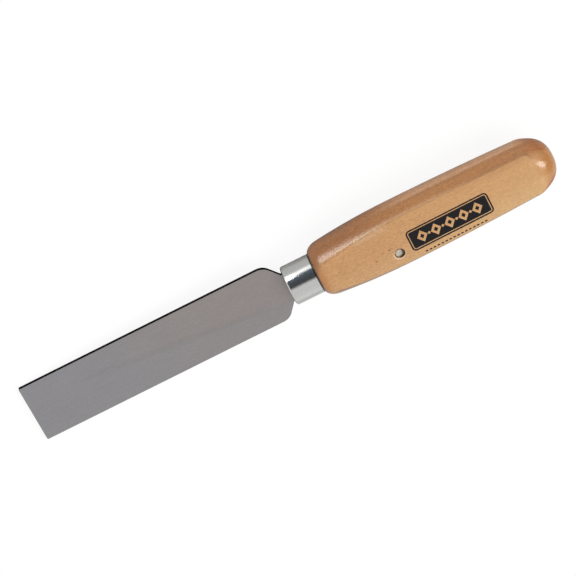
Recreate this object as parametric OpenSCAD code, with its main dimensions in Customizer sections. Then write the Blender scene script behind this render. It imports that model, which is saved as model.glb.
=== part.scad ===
// Square-ended putty knife: steel blade and tang, ferrule, turned and flatted wooden handle, cross pin.
// The tool's own frame has its origin on the long axis at the ferrule's front end, the blade towards -X,
// the butt towards +X and the broad faces towards +Z and -Z. The last lines lay the tool on a table.

/* [Blade] */
// Length of blade that stands out of the ferrule
blade_len = 101.6; // [60:0.1:160]
// Width of the blade
blade_w = 23; // [18:0.1:40]
// Thickness of the blade and of its tang
blade_t = 1.6; // [0.8:0.05:2.4]
// Rounding of the two corners of the square end
tip_corner_r = 0.5; // [0.2:0.05:2]
// Rounding between each long edge and its shoulder
shoulder_r = 5; // [2:0.1:6]
// Slope of the shoulders against the length of the blade, in degrees
shoulder_slope = 52; // [40:1:65]
// Hollow fillet between each shoulder and the neck
neck_fillet_r = 2; // [0.5:0.1:3]

/* [Tang] */
// Width of the neck and of the tang behind it
tang_w = 10.4; // [6:0.1:11]
// Length of tang behind the cross pin
tang_past_pin = 12; // [8:0.5:40]
// Corners cut off the end of the tang
tang_chamfer = 2; // [0.5:0.1:3]
// Room between the tang and the walls of its mortise
tang_clear = 0.1; // [0.02:0.01:0.2]

/* [Ferrule] */
// Outer diameter of the ferrule
ferrule_d = 14.8; // [14:0.1:18]
// Length of the ferrule
ferrule_len = 11; // [8:0.1:20]
// Wall of the ferrule
ferrule_wall = 0.6; // [0.3:0.05:0.9]
// Inner radius of the bend round the ferrule's front rim
rim_bend_r = 0.2; // [0.1:0.05:0.5]
// Width of the lip that is turned in over the end of the wood
lip_w = 0.7; // [0.3:0.05:0.8]
// Room between the ferrule and the wooden spigot in it
seat_clear = 0.03; // [0.01:0.01:0.1]
// Gap between the spigot's end and the turned-in rim
spigot_gap = 0.1; // [0.05:0.05:1]

/* [Handle] */
// Length of the handle behind the ferrule
handle_len = 93; // [75:0.5:130]
// Length of the rounded front shoulder
nose_len = 4.5; // [2:0.1:8]
// Step from the ferrule out to the wood at the joint
nose_step = 0.2; // [0.05:0.05:1]
// Diameter behind the front shoulder
front_d = 20.4; // [17:0.1:24]
// Largest diameter of the barrel
belly_d = 23.4; // [20:0.1:30]
// Place of the largest diameter behind the front of the handle
belly_pos = 32; // [20:0.5:50]
// Diameter where the domed butt begins
rear_d = 21.4; // [17:0.1:26]
// Length of the domed butt
dome_len = 10.2; // [8:0.1:20]

/* [Flats] */
// Thickness across the flats at the front of the handle
flats_front = 16.6; // [15.2:0.1:19]
// Thickness across the flats at the butt
flats_rear = 13.4; // [11:0.1:17]
// Length over which the flats run out into the butt
runout_len = 10; // [4:0.5:12]
// Rounding of the edges of the flats at the front
edge_r_front = 0.9; // [0.4:0.1:3]
// Rounding of the edges of the flats at the butt
edge_r_rear = 0.6; // [0.3:0.1:2]

/* [Pin] */
// Diameter of the cross pin
pin_d = 3; // [2:0.1:3.4]
// Place of the pin behind the front of the handle
pin_pos = 29.3; // [20:0.1:34]
// Distance of the pin from the long axis, towards -Y
pin_off = 4; // [3:0.1:5]
// Room around the pin in its hole
pin_clear = 0.03; // [0.01:0.01:0.1]
// Depth of the pin's ends below the flats
pin_sink = 0.5; // [0.2:0.1:1]
// Diameter of the worn mouth of the pin hole
mouth_d = 3.8; // [3.6:0.1:4.5]
// Depth of that mouth
mouth_depth = 0.9; // [0.3:0.1:2]

/* [Hidden] */
$fn = 96;
// Reach of cutting tools past the faces that they cut
past = 1;
// Shape of the butt's outline and of the flats' run-out: 2 is an ellipse, more is squarer
dome_power = 2.4;
runout_power = 2.3;
// Length of the front shoulder on the flats, as a share of that on the barrel
flat_nose_share = 0.45;
// Share of the run-out in which the flats end in a rounded tongue: past it, the sections are ovals
tongue_share = 0.65;
// Steps along the short arcs of the blade's outline
outline_steps = 6;
// Steps of the handle's loft along the nose, barrel and dome, and round a quarter of its section
nose_steps = 6;
barrel_steps = 14;
dome_steps = 14;
side_steps = 5;
edge_steps = 3;
flat_steps = 2;
quarter_steps = side_steps + edge_steps + flat_steps;

// Where the shoulder's rounding leaves the long edge, and where the fillet meets the neck: the slope
// between them points at the neck's edge at the ferrule's front end
shoulder_x = -(blade_w - tang_w) / 2 / tan(shoulder_slope) - shoulder_r * tan(shoulder_slope / 2);
neck_x = neck_fillet_r * tan(shoulder_slope / 2);

// Places along the handle
handle_x = ferrule_len;
butt_x = handle_x + handle_len;
dome_x = butt_x - dome_len;
belly_x = handle_x + belly_pos;
root_r = ferrule_d / 2 + nose_step;
rim_r = ferrule_wall + rim_bend_r;
spigot_x = rim_r + spigot_gap;
spigot_r = ferrule_d / 2 - ferrule_wall - seat_clear;
pin_x = handle_x + pin_pos;
tang_len = pin_x + tang_past_pin;
notch_r = pin_d / 2 + tang_clear;

// Points along an arc about a centre, from one angle to another
function arc(centre, r, from, to, steps) =
  [for (i = [0 : steps]) let (a = from + (to - from) * i / steps) centre + r * [cos(a), sin(a)]];

// Fall of a rounded shoulder at a share t of its length, from 1 at its foot to 0 at its top
function ease(t) = 1 - sqrt(1 - pow(1 - min(1, max(0, t)), 2));

// Half the thickness across the flats, before the nose and the butt round it off
function flat_line(x) = (flats_front + (flats_rear - flats_front) * (x - handle_x) / handle_len) / 2;

// Radius of the turned barrel, before the nose and the butt round it off
function barrel_line(x) = x < belly_x
  ? belly_d / 2 - (belly_d - front_d) / 2 * pow((belly_x - x) / (belly_pos - nose_len), 2)
  : belly_d / 2 - (belly_d - rear_d) / 2 * pow((x - belly_x) / (dome_x - belly_x), 2);

// How far x lies in the last stretch of the handle, from 0 at its start to 1 at the butt
function way(x, stretch) = min(1, max(0, (x - butt_x + stretch) / stretch));

// Shares of the full section that are left in the butt, and how far it has turned into an oval there
function fall(t, power) = pow(1 - pow(t, power), 1 / power);
function dome_share(x) = fall(way(x, dome_len), dome_power);
function runout_share(x) = fall(way(x, runout_len), runout_power);
function oval_share(x) =
  let (t = min(1, way(x, runout_len) / tongue_share))
  t * t * (3 - 2 * t);

// Radius and half thickness of the finished section
function section_r(x) = dome_share(x)
  * (barrel_line(x) - (front_d / 2 - root_r) * ease((x - handle_x) / nose_len));
function section_h(x) = runout_share(x)
  * (flat_line(x) - (flats_front / 2 - root_r) * ease((x - handle_x) / nose_len / flat_nose_share));
function section_edge(x) = edge_r_front + (edge_r_rear - edge_r_front) * (x - handle_x) / handle_len;

// A quarter of a circle cut by a flat, with the edge between them rounded
function cut_quarter(r, h, edge) =
  let (
    e = min(edge, 0.45 * h),
    cz = h - e,
    cy = sqrt(pow(r - e, 2) - cz * cz),
    turn = atan2(cz, cy)
  )
  [
    for (i = [0 : side_steps]) r * [cos(turn * i / side_steps), sin(turn * i / side_steps)],
    for (i = [1 : edge_steps])
      let (a = turn + (90 - turn) * i / edge_steps) [cy + e * cos(a), cz + e * sin(a)],
    for (i = [1 : flat_steps]) [cy * (1 - i / flat_steps), h]
  ];
function oval_quarter(r, h) =
  [for (i = [0 : quarter_steps]) [r * cos(90 * i / quarter_steps), h * sin(90 * i / quarter_steps)]];

// The section's quarter, which turns from a cut circle into an oval as the flats run out
function quarter(x) =
  let (
    r = section_r(x),
    h = min(section_h(x), r - 0.001),
    oval = oval_share(x),
    cut = cut_quarter(r, h, section_edge(x)),
    round = oval_quarter(r, h)
  )
  [for (i = [0 : quarter_steps]) (1 - oval) * cut[i] + oval * round[i]];

// A whole ring of the loft, from four mirrored quarters
function ring(x) =
  let (q = quarter(x), n = quarter_steps)
  [
    for (i = [0 : n - 1]) [x, q[i][0], q[i][1]],
    for (i = [n : -1 : 1]) [x, -q[i][0], q[i][1]],
    for (i = [0 : n - 1]) [x, -q[i][0], -q[i][1]],
    for (i = [n : -1 : 1]) [x, q[i][0], -q[i][1]]
  ];
stations = [
  for (i = [0 : nose_steps]) handle_x + nose_len * (1 - cos(90 * i / nose_steps)),
  for (i = [1 : barrel_steps]) handle_x + nose_len + (dome_x - handle_x - nose_len) * i / barrel_steps,
  for (i = [1 : dome_steps - 1]) dome_x + dome_len * sin(90 * i / dome_steps)
];

// Lie of the tool: the lower edge of the square end touches the table, and so does the ferrule's rim,
// or the handle where that reaches lower
touch_rise = ferrule_d / 2 - rim_r - blade_t / 2;
touch_span = blade_len + rim_r;
rim_angle = atan2(touch_rise, touch_span) + asin(rim_r / norm([touch_rise, touch_span]));
lie_angle = max([rim_angle, for (x = stations) atan2(section_h(x) - blade_t / 2, blade_len + x)]);
lie_lift = blade_len * sin(lie_angle) + blade_t / 2 * cos(lie_angle);
tip_reach = -blade_len * cos(lie_angle) - blade_t / 2 * sin(lie_angle);
reach_power = runout_power / (runout_power - 1);
butt_reach = (butt_x - runout_len) * cos(lie_angle)
  + pow(
    pow(runout_len * cos(lie_angle), reach_power) + pow(flats_rear / 2 * sin(lie_angle), reach_power),
    1 / reach_power
  );

module blade_outline() {
  steps = outline_steps;
  side = [
    each arc([-blade_len + tip_corner_r, blade_w / 2 - tip_corner_r], tip_corner_r, 180, 90, steps),
    each arc([shoulder_x, blade_w / 2 - shoulder_r], shoulder_r, 90, 90 - shoulder_slope, 2 * steps),
    each arc([neck_x, tang_w / 2 + neck_fillet_r], neck_fillet_r, 270 - shoulder_slope, 270, steps),
    [tang_len - tang_chamfer, tang_w / 2],
    [tang_len, tang_w / 2 - tang_chamfer]
  ];
  last = len(side) - 1;
  difference() {
    polygon([for (p = side) p, for (i = [last : -1 : 0]) [side[i][0], -side[i][1]]]);
    translate([pin_x, -pin_off])
      circle(notch_r);
  }
}

module blade() {
  color("#8d8a8b")
    translate([0, 0, -blade_t / 2])
      linear_extrude(blade_t)
        blade_outline();
}

module barrel() {
  rings = [for (x = stations) each ring(x)];
  n = 4 * quarter_steps;
  m = len(stations);
  polyhedron(
    points = concat(rings, [[butt_x, 0, 0]]),
    faces = [
      [for (i = [0 : n - 1]) i],
      for (k = [0 : m - 2], i = [0 : n - 1])
        each [
          [k * n + i, (k + 1) * n + i, (k + 1) * n + (i + 1) % n],
          [k * n + i, (k + 1) * n + (i + 1) % n, k * n + (i + 1) % n]
        ],
      for (i = [0 : n - 1]) [(m - 1) * n + i, m * n, (m - 1) * n + (i + 1) % n]
    ]
  );
}

module handle() {
  mortise_w = tang_w + 2 * tang_clear;
  mortise_t = blade_t + 2 * tang_clear;
  color("#cfa26f")
    difference() {
      union() {
        barrel();
        translate([spigot_x, 0, 0])
          rotate([0, 90, 0])
            cylinder(h = handle_x + past - spigot_x, r = spigot_r);
      }
      translate([0, -mortise_w / 2, -mortise_t / 2])
        cube([tang_len + tang_clear, mortise_w, mortise_t]);
      translate([pin_x, -pin_off, -belly_d])
        cylinder(h = 2 * belly_d, d = pin_d + 2 * pin_clear);
      for (s = [-1, 1]) {
        translate([pin_x, -pin_off, s * flat_line(pin_x)])
          cylinder(h = 2 * mouth_depth, d = mouth_d, center = true);
      }
    }
}

module ferrule() {
  outer = ferrule_d / 2;
  inner = outer - ferrule_wall;
  color("#c4c6c8")
    rotate([0, 90, 0])
      rotate_extrude() {
        translate([inner - lip_w, 0])
          square([outer - rim_r - inner + lip_w, ferrule_wall]);
        translate([outer - rim_r, rim_r])
          difference() {
            intersection() {
              circle(rim_r);
              translate([0, -rim_r])
                square(rim_r);
            }
            circle(rim_bend_r);
          }
        translate([inner, rim_r])
          square([ferrule_wall, ferrule_len - rim_r]);
      }
}

module pin() {
  half = flat_line(pin_x) - pin_sink;
  color("#b9bcbf")
    translate([pin_x, -pin_off, -half])
      cylinder(h = 2 * half, d = pin_d);
}

module lie() {
  translate([-(tip_reach + butt_reach) / 2, 0, lie_lift])
    rotate([0, -lie_angle, 0])
      children();
}

lie() blade();
lie() handle();
lie() ferrule();
lie() pin();
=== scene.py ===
"""A square-ended putty knife on a pale floor: blade, plated ferrule, flatted wooden handle, cross pin.

Sizes are in millimetres in the tool's own frame, as on a drawing. Its origin is on the long axis at the
ferrule's front end, the blade lies towards -X, the butt towards +X, and the broad faces look along +Z and
-Z. Lie turns that frame into metres in the shared frame, where the tool rests on the floor.
"""

import logging
import math
from dataclasses import dataclass, field
from enum import Enum
from types import SimpleNamespace
from typing import Any, Callable, Iterable, Sequence, Union

import bmesh
import bpy
from bmesh.types import BMesh, BMFace
from bpy.types import Material, Node, NodeSocket, NodeTree, Object
from mathutils import Matrix, Vector


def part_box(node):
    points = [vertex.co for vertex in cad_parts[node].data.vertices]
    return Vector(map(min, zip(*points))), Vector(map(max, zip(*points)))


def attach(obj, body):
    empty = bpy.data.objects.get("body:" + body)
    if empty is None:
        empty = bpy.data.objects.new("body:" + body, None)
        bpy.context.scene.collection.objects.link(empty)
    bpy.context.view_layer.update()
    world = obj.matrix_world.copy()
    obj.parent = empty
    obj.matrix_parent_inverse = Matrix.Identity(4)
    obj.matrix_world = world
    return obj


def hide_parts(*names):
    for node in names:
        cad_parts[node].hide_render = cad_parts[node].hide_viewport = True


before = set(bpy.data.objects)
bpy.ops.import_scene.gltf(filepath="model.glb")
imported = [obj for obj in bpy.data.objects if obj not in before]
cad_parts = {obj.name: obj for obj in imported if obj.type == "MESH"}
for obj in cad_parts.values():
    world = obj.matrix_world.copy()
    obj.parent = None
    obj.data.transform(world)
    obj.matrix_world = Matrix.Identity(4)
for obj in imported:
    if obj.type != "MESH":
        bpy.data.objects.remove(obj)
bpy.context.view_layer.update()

Colour = tuple[float, float, float]
Point2 = tuple[float, float]
Point3 = tuple[float, float, float]
Ramp = tuple[str, float, float]
Sockets = dict[Union[str, int], Any]

LOG = logging.getLogger("putty_knife")
MM = 0.001
BODY = "root"
WHITE: Colour = (1.0, 1.0, 1.0)
PIN_CENTRE: Point2 = (40.3, -4.0)


def math_method(operation: str, swapped: bool = False) -> Callable[..., "Term"]:
    """Makes a method of Term that adds one Math node.

    Args:
        operation: The node's operation.
        swapped: Whether the other value comes before the Term.

    Returns:
        The method. It takes the other values, if any, and gives the node's output.
    """

    def method(self: "Term", *others: "Value") -> "Term":
        """Adds the node for self and the others."""
        return self.graph.math(operation, *((*others, self) if swapped else (self, *others)))

    return method


class Term:
    """One output in a node tree, with Python's operators for the sums that are made from it.

    A comparison gives 1 or 0. at_least is the greater of two values and at_most the smaller, fraction and
    whole are the two parts of a value, bounce runs up and down with it, and angle is an arc tangent.
    """

    __add__ = math_method("ADD")
    __radd__ = math_method("ADD", swapped=True)
    __sub__ = math_method("SUBTRACT")
    __rsub__ = math_method("SUBTRACT", swapped=True)
    __mul__ = math_method("MULTIPLY")
    __rmul__ = math_method("MULTIPLY", swapped=True)
    __truediv__ = math_method("DIVIDE")
    __pow__ = math_method("POWER")
    __gt__ = math_method("GREATER_THAN")
    __lt__ = math_method("LESS_THAN")
    __abs__ = math_method("ABSOLUTE")
    at_least = math_method("MAXIMUM")
    at_most = math_method("MINIMUM")
    sign = math_method("SIGN")
    sin = math_method("SINE")
    cos = math_method("COSINE")
    angle = math_method("ARCTAN2")
    fraction = math_method("FRACT")
    whole = math_method("FLOOR")
    bounce = math_method("PINGPONG")

    def __init__(self, graph: "Graph", socket: NodeSocket) -> None:
        """Keeps the output's socket and the graph that holds it."""
        self.graph = graph
        self.socket = socket

    def share(self) -> "Term":
        """Self, held between 0 and 1."""
        return self.at_least(0.0).at_most(1.0)

    def root(self) -> "Term":
        """The square root of self, or of 0 where self is negative."""
        return self.graph.math("SQRT", self.at_least(0.0))

    def wrapped(self, pitch: float) -> "Term":
        """Self's distance from the nearest multiple of pitch, with its sign."""
        return self.graph.math("WRAP", self, pitch / 2, -pitch / 2)

    def rise(self, start: float, end: float) -> "Term":
        """A soft step from 0 at start to 1 at end, which may be less than start."""
        sockets = {"Value": self, "From Min": start, "From Max": end}
        return self.graph.term("ShaderNodeMapRange", sockets, interpolation_type="SMOOTHSTEP")


Value = Union[Term, float, int]


class Graph:
    """Builds one node tree: a material, the world or a piece of geometry."""

    def __init__(self, tree: NodeTree) -> None:
        """Takes over a tree, and clears what it holds."""
        self.tree = tree
        tree.nodes.clear()

    def node(self, kind: str, sockets: Sockets | None = None, **settings: Any) -> Node:
        """Adds a node of any type.

        Args:
            kind: The node's type.
            sockets: What goes into its inputs, by identifier, name or number: a Term, a list of them for
                an input that takes several, or a plain value.
            **settings: Its own settings, which are set before its sockets.

        Returns:
            The new node.
        """
        made = self.tree.nodes.new(kind)
        for name, value in settings.items():
            setattr(made, name, value)
        for key, value in (sockets or {}).items():
            target = self._find(made.inputs, key)
            for one in value if isinstance(value, list) else [value]:
                if isinstance(one, Term):
                    self.tree.links.new(one.socket, target)
                else:
                    target.default_value = one
        return made

    def term(self, kind: str, sockets: Sockets | None = None, out: str | int = 0, **settings: Any) -> Term:
        """Adds a node as node() does, and gives the one of its outputs that out names."""
        return Term(self, self._find(self.node(kind, sockets, **settings).outputs, out))

    def math(self, operation: str, *values: Value) -> Term:
        """Adds a Math node for one operation on one to three values."""
        return self.term("ShaderNodeMath", dict(enumerate(values)), operation=operation)

    def times(self, first: Any, second: Any) -> Term:
        """Multiplies two vectors or colours, number by number."""
        return self.term("ShaderNodeVectorMath", {0: first, 1: second}, operation="MULTIPLY")

    def join(self, x: Value, y: Value, z: Value) -> Term:
        """Puts three values together as a vector."""
        return self.term("ShaderNodeCombineXYZ", {0: x, 1: y, 2: z})

    def split(self, vector: Term) -> list[Term]:
        """Takes a vector apart into its three values."""
        return [Term(self, out) for out in self.node("ShaderNodeSeparateXYZ", {0: vector}).outputs]

    def noise(self, place: Term, scale: Point3, detail: float = 2.0, roughness: float = 0.5) -> Term:
        """Smooth noise from 0 to 1 at a place, with its scale along each axis."""
        sockets = {"Vector": self.times(place, scale), "Scale": 1.0, "Detail": detail,
                   "Roughness": roughness}
        return self.term("ShaderNodeTexNoise", sockets, noise_dimensions="3D")

    def blend(self, share: Value, first: Any, second: Any) -> Term:
        """Mixes two colours, each a Term or three numbers. Share is how much of the second shows."""
        ends = [c if isinstance(c, Term) else (*c, 1.0) for c in (first, second)]
        sockets = {"Factor_Float": share, "A_Color": ends[0], "B_Color": ends[1]}
        return self.term("ShaderNodeMix", sockets, "Result_Color", data_type="RGBA")

    def tinted(self, colour: Term, share: Value, tone: Colour) -> Term:
        """Multiplies a colour by a tone, as far as share says."""
        return self.times(colour, self.blend(share, WHITE, tone))

    def relief(self, height: Term, depth: float) -> Term:
        """A bump from a height of 0 to 1, which stands for depth in millimetres."""
        sockets = {"Height": height, "Strength": 1.0, "Distance": depth * MM}
        return self.term("ShaderNodeBump", sockets)

    def skin(self, sockets: Sockets) -> Term:
        """Adds a surface shader with what goes into it."""
        return self.term("ShaderNodeBsdfPrincipled", sockets, "BSDF")

    def show(self, surface: Term, kind: str = "Material") -> None:
        """Adds the output of a material or of the world."""
        self.node("ShaderNodeOutput" + kind, {"Surface": surface})

    def mix(self, share: Value, first: Term, second: Term) -> Term:
        """Mixes two shaders. Share is how much of the second shows."""
        return self.term("ShaderNodeMixShader", {0: share, 1: first, 2: second})

    @staticmethod
    def _find(sockets: Iterable[NodeSocket], key: str | int) -> NodeSocket:
        """Finds a socket by number, identifier or name."""
        found = list(sockets)
        if isinstance(key, int):
            return found[key]
        named = [s for s in found if s.identifier == key] or [s for s in found if s.name == key]
        if not named:
            raise KeyError(f"no socket {key!r} among {[s.identifier for s in found]}")
        return named[0]


@dataclass(frozen=True)
class Lie:
    """How the tool lies on the floor: its lean, and where the origin of its own frame comes."""

    lean: float
    along: float
    up: float

    @classmethod
    def of_blade(cls, length: float, front: float, thickness: float) -> "Lie":
        """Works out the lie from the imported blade, a flat strip of known length and thickness.

        Args:
            length: Length of blade and tang together.
            front: How much of it lies in front of the tool's origin.
            thickness: Thickness of the strip.

        Returns:
            The lie of the whole tool.
        """
        low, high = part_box("blade")
        run = (high.x - low.x) / MM
        height = (high.z - low.z) / MM
        lean = math.atan2(length * height - thickness * run, length * run - thickness * height)
        half = thickness / 2
        along = low.x / MM + front * math.cos(lean) + half * math.sin(lean)
        up = low.z / MM + front * math.sin(lean) + half * math.cos(lean)
        return cls(lean, along, up)

    def matrix(self) -> Matrix:
        """The step from millimetres in the tool's frame to metres in the shared frame."""
        turn = Matrix.Rotation(-self.lean, 4, "Y")
        return Matrix.Translation(Vector((self.along, 0, self.up)) * MM) @ turn @ Matrix.Scale(MM, 4)

    def place(self, graph: Graph) -> Term:
        """The place on a piece in the tool's own frame, in millimetres, for its material's nodes."""
        return graph.term("ShaderNodeMapping", {
            "Vector": graph.term("ShaderNodeTexCoord", out="Object"),
            "Location": self.matrix().inverted().translation,
            "Rotation": (0.0, self.lean, 0.0),
            "Scale": (1 / MM, 1 / MM, 1 / MM),
        }, vector_type="POINT")


def arc(centre: Point2, radius: float, start: float, end: float, steps: int) -> list[Point2]:
    """Points along an arc.

    Args:
        centre: Its centre.
        radius: Its radius.
        start: The angle of its first point, in degrees.
        end: The angle of its last point.
        steps: How many steps lie between them.

    Returns:
        The points in order, both ends included.
    """
    angles = [math.radians(start + (end - start) * i / steps) for i in range(steps + 1)]
    return [(centre[0] + radius * math.cos(a), centre[1] + radius * math.sin(a)) for a in angles]


def circle(segments: int) -> list[Point2]:
    """Evenly spaced points on a circle with a radius of 1."""
    return arc((0.0, 0.0), 1.0, 0, 360, segments)[:-1]


def inset(outline: Sequence[Point2], depth: float) -> list[Point2]:
    """Moves a clockwise outline inwards by a depth, with its corners mitred."""
    moved = []
    for i, point in enumerate(outline):
        before = Vector(point) - Vector(outline[i - 1])
        after = Vector(outline[(i + 1) % len(outline)]) - Vector(point)
        first = Vector((before.y, -before.x)).normalized()
        second = Vector((after.y, -after.x)).normalized()
        middle = (first + second).normalized()
        step = middle * depth / max(0.5, middle.dot(first))
        moved.append((point[0] + step.x, point[1] + step.y))
    return moved


def skin_rings(shape: BMesh, rings: Sequence[Sequence[Vector]]) -> list[list[BMFace]]:
    """Joins closed rings of points with strips of faces.

    Args:
        shape: The mesh that takes them.
        rings: The rings, each with as many points.

    Returns:
        The strips in order, each as a list of its faces.
    """
    rows = [[shape.verts.new(p) for p in ring] for ring in rings]
    strips = []
    for lower, upper in zip(rows, rows[1:]):
        pairs = [(i, (i + 1) % len(lower)) for i in range(len(lower))]
        strips.append([shape.faces.new((lower[i], lower[j], upper[j], upper[i])) for i, j in pairs])
    return strips


def cap_rings(shape: BMesh, count: int) -> None:
    """Closes a mesh's first and last ring, each of count points, with a face."""
    shape.verts.ensure_lookup_table()
    shape.faces.new(shape.verts[:count])
    shape.faces.new(list(reversed(shape.verts[-count:])))


def add_object(name: str, data: bpy.types.ID) -> Object:
    """Makes an object from its data, and puts it into the scene."""
    made = bpy.data.objects.new(name, data)
    bpy.context.scene.collection.objects.link(made)
    return made


def new_material(name: str) -> tuple[Material, Graph]:
    """Makes an empty material that is drawn with nodes."""
    material = bpy.data.materials.new(name)
    material.use_nodes = True
    return material, Graph(material.node_tree)


def make_piece(name: str, shape: BMesh, lie: Lie, materials: Sequence[Material]) -> Object:
    """Turns a mesh in the tool's frame into an object in the shared frame.

    Args:
        name: The piece's name.
        shape: Its mesh, in millimetres, which is freed.
        lie: How the tool lies.
        materials: Its materials, in the order of the faces' numbers.

    Returns:
        The new object, at the origin.
    """
    bmesh.ops.recalc_face_normals(shape, faces=shape.faces)
    smooth_below = math.radians(40.0)
    for edge in shape.edges:
        edge.smooth = edge.is_manifold and edge.calc_face_angle(0.0) < smooth_below
    for face in shape.faces:
        face.smooth = True
    mesh = bpy.data.meshes.new(name)
    shape.to_mesh(mesh)
    shape.free()
    mesh.transform(lie.matrix())
    for material in materials:
        mesh.materials.append(material)
    return add_object(name, mesh)


def seat_piece(piece: Object, node: str) -> None:
    """Lets a piece stand for a node of the frame, which is hidden, and ride on the tool's body."""
    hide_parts(node)
    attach(piece, BODY)
    piece.data.calc_loop_triangles()
    LOG.info("%s stands for %s, %d triangles", piece.name, node, len(piece.data.loop_triangles))


class SteelFinish:
    """A finish of steel or plating. Its kinds say what goes into the one surface shader."""

    NAME = ""

    def material(self, lie: Lie) -> Material:
        """Builds the finish for a tool that lies as lie says."""
        made, g = new_material(self.NAME)
        g.show(g.skin({"Metallic": 1.0, **self.sockets(g, lie.place(g))}))
        return made

    def sockets(self, g: Graph, place: Term) -> Sockets:
        """What goes into the surface shader.

        Args:
            g: The material's graph.
            place: The place in the tool's frame, in millimetres.

        Returns:
            The shader's inputs by name, apart from Metallic.
        """
        raise NotImplementedError


@dataclass(frozen=True)
class RolledSteel(SteelFinish):
    """Satin rolled strip with a fine lengthwise grain, as on the blade's broad faces.

    A faint darker line crosses the face, and the tone above it is the warmer one.
    """

    NAME = "rolled_steel"
    cool: Colour = (0.312, 0.304, 0.315)
    warm: Colour = (0.330, 0.298, 0.288)
    warm_x: Point2 = (-85.0, -25.0)
    line_slope: float = 0.112
    line_height: float = 5.2
    line_width: Point2 = (1.9, 0.4)
    line_start: Point2 = (-88.0, -74.0)
    line_end: Point2 = (-6.0, -14.0)
    roughness: float = 0.34
    grain_depth: float = 0.002

    def sockets(self, g: Graph, place: Term) -> Sockets:
        """What goes into the surface shader, as in SteelFinish."""
        x, y, _ = g.split(place)
        cloud = g.noise(place, (0.045, 0.09, 1.0), 3.0)
        grain = g.noise(place, (0.12, 5.5, 5.5), 4.0, 0.65)
        hair = g.noise(place, (0.5, 16.0, 16.0), 2.0, 0.6)
        speckle = g.noise(place, (1.1, 1.6, 1.0))
        above = y + self.line_slope * x + self.line_height
        line = abs(above).rise(*self.line_width) * x.rise(*self.line_start) * x.rise(*self.line_end)
        shade = 0.77 + 0.12 * (cloud - 0.5) + 0.24 * grain + 0.20 * speckle - 0.045 * line
        warmed = x.rise(*self.warm_x) * (0.45 + 0.55 * above.rise(-1.5, 1.5))
        return {
            "Base Color": g.times(g.blend(warmed, self.cool, self.warm), g.join(shade, shade, shade)),
            "Roughness": self.roughness + 0.12 * cloud + 0.08 * hair,
            "Normal": g.relief(grain * 0.7 + hair * 0.3, self.grain_depth),
        }


@dataclass(frozen=True)
class ShearedEdge(SteelFinish):
    """Dark sheared steel along the narrow sides of the blade, slightly torn; part of its darkness is
    painted shade that stands in for the dark reflection these faces catch.
    """

    NAME = "sheared_edge"
    colour: Colour = (0.014, 0.013, 0.013)
    burnished: Colour = (0.050, 0.048, 0.047)
    grazing: Colour = (0.10, 0.10, 0.10)
    roughness: float = 0.55
    tear_depth: float = 0.03

    def sockets(self, g: Graph, place: Term) -> Sockets:
        """What goes into the surface shader, as in SteelFinish."""
        tear = g.noise(place, (2.2, 2.2, 0.6), 3.0, 0.6)
        return {
            # painted shade: base colour and grazing tint are darker than bare steel, so the narrow faces
            # keep the dark look of their reflection
            "Base Color": g.blend(tear.rise(0.5, 0.75), self.colour, self.burnished),
            "Specular Tint": (*self.grazing, 1.0),
            "Roughness": self.roughness,
            "Normal": g.relief(tear, self.tear_depth),
        }


@dataclass(frozen=True)
class BrightPlate(SteelFinish):
    """Bright plating on a drawn tube, slightly mottled, with painted shadow along its rear edge where it
    meets the wood.
    """

    NAME = "bright_plate"
    colour: Colour = (0.570, 0.570, 0.552)
    dull: Colour = (0.45, 0.45, 0.44)
    joint_shadow: Colour = (0.045, 0.038, 0.033)
    joint_shadow_x: Point2 = (10.55, 10.9)
    roughness: float = 0.12
    mottle_depth: float = 0.022

    def sockets(self, g: Graph, place: Term) -> Sockets:
        """What goes into the surface shader, as in SteelFinish."""
        mottle = g.noise(place, (1.6, 1.6, 1.6), 3.0, 0.6)
        draw = g.noise(place, (0.25, 3.5, 3.5))
        colour = g.blend(mottle.rise(0.45, 0.8) * 0.5, self.colour, self.dull)
        return {
            # painted shadow: the ferrule's rear edge darkens where it meets the wood
            "Base Color": g.blend(g.split(place)[0].rise(*self.joint_shadow_x) * 0.85, colour, self.joint_shadow),
            "Roughness": self.roughness + 0.10 * mottle.rise(0.4, 0.8),
            "Normal": g.relief(mottle * 0.75 + draw * 0.25, self.mottle_depth),
        }


@dataclass(frozen=True)
class CroppedWire(SteelFinish):
    """Bright steel wire with rough ends, with painted shade on one side and a pale streak across them."""

    NAME = "cropped_wire"
    colour: Colour = (0.66, 0.59, 0.50)
    pit_and_shade: Colour = (0.40, 0.34, 0.28)
    pale_streak: Colour = (0.86, 0.83, 0.78)
    roughness: float = 0.46
    pit_depth: float = 0.10

    def sockets(self, g: Graph, place: Term) -> Sockets:
        """What goes into the surface shader, as in SteelFinish."""
        x, y, _ = g.split(place)
        pit = g.noise(place, (1.5, 1.5, 1.5), 3.0, 0.6)
        side = (x - PIN_CENTRE[0]) * 0.8 - (y - PIN_CENTRE[1]) * 0.6
        ragged = (pit - 0.5) * 1.6 + side
        colour = g.blend(pit.rise(0.5, 0.68), self.colour, self.pit_and_shade)
        # painted shade: the end darkens towards +X and -Y, as the hole's rim would shade it
        colour = g.blend(ragged.rise(0.1, 1.0) * 0.75, colour, self.pit_and_shade)
        colour = g.blend(abs(ragged + 0.25).rise(0.22, 0.05) * 0.7, colour, self.pale_streak)
        return {
            "Base Color": colour,
            "Roughness": self.roughness,
            "Normal": g.relief(pit, self.pit_depth),
        }


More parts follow.
